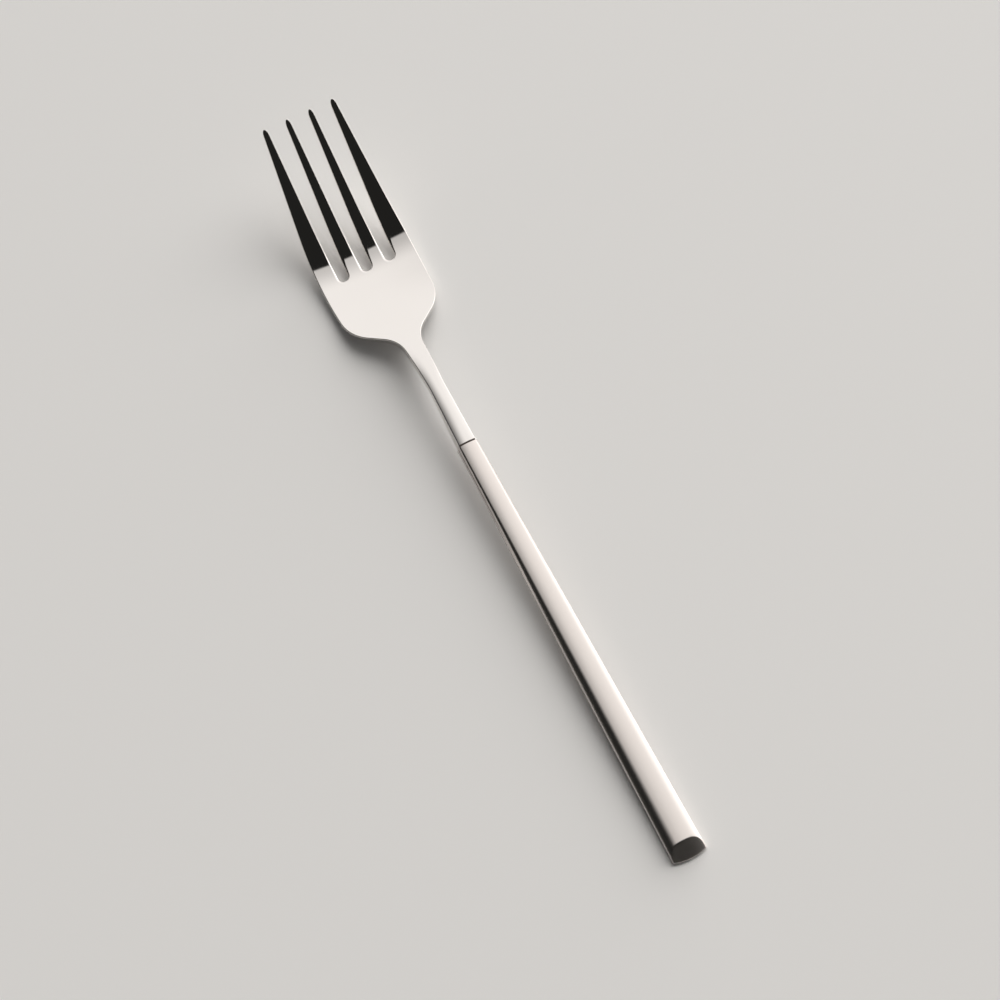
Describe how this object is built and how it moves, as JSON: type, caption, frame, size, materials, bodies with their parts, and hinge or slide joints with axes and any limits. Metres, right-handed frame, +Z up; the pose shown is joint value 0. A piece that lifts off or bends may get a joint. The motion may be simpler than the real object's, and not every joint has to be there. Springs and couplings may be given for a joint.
{
  "type": "salad fork",
  "caption": "Salad fork with a mirror-polished tined head on a slender neck, set into a satin hollow handle with a crowned top, a flat underside and a slanted end.",
  "frame": {"origin": "middle of the footprint, on the surface that the fork lies on", "axes": "+X across the fork, +Y from the butt towards the tines, +Z up from the table, face of the fork upwards"},
  "size_m": [0.023, 0.1808, 0.0196],
  "materials": {
    "polished_steel": "mirror-polished stainless steel",
    "satin_steel": "satin stainless steel, fine grain along the handle",
    "ferrule_steel": "plain turned steel, hidden inside",
    "cement": "set mineral cement, matt",
    "joint_filler": "dark brown filler in the joint line"
  },
  "bodies": {
    "root": {"fork_head": "polished_steel", "handle_top_shell": "satin_steel", "handle_base_plate": "satin_steel", "handle_end_cap": "satin_steel", "handle_front_ferrule": "ferrule_steel", "handle_filler": "cement", "seam_bead": "joint_filler"}
  },
  "joints": []
}
